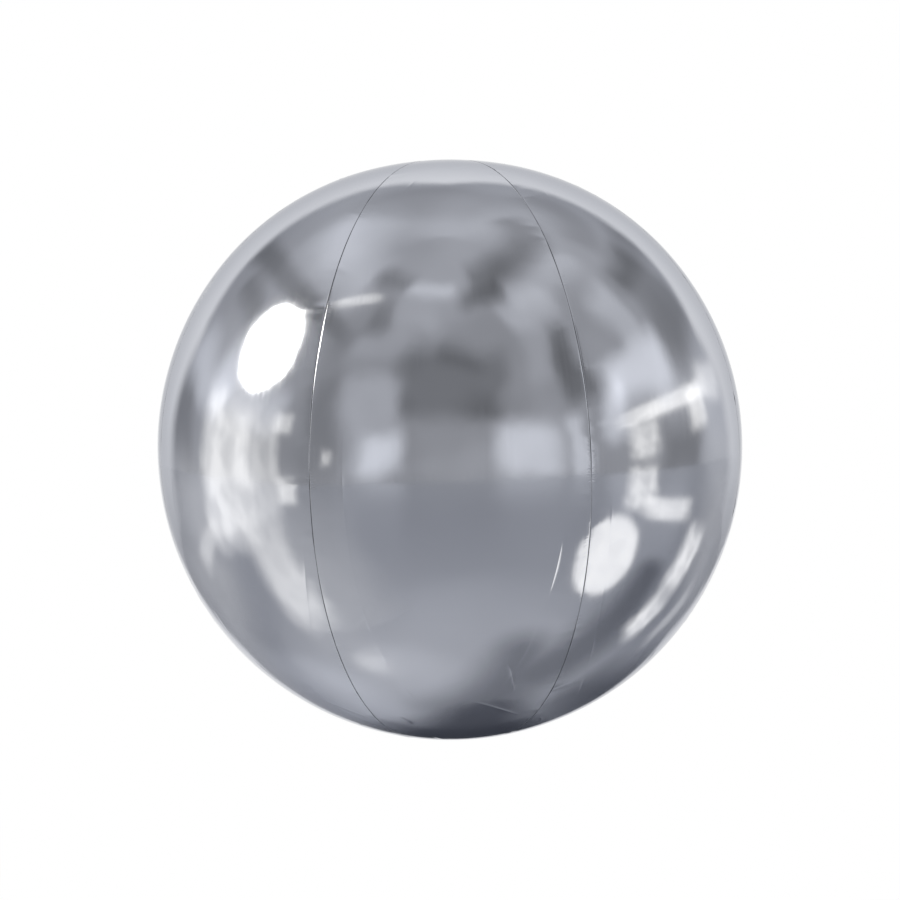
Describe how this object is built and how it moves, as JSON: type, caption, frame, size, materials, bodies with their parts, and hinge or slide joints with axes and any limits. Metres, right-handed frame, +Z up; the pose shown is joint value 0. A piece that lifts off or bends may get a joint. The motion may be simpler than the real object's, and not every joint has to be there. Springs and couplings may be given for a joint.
{
  "type": "foil ball balloon",
  "caption": "Inflated ball of silver mirror film, sealed from lens-shaped panels along hairline meridian seams, with a flat filling neck tucked behind its lower pole.",
  "frame": {"origin": "middle of the ball, on its axis and at the level of its greatest diameter", "axes": "+Z up along the pole axis, away from the filling neck; the middle of the front panel faces -Y"},
  "size_m": [0.4, 0.4, 0.3966],
  "materials": {
    "mirror_film": "silver metallised film, mirror bright with faint haze and creases"
  },
  "bodies": {
    "root": {"envelope": "mirror_film"}
  },
  "joints": []
}
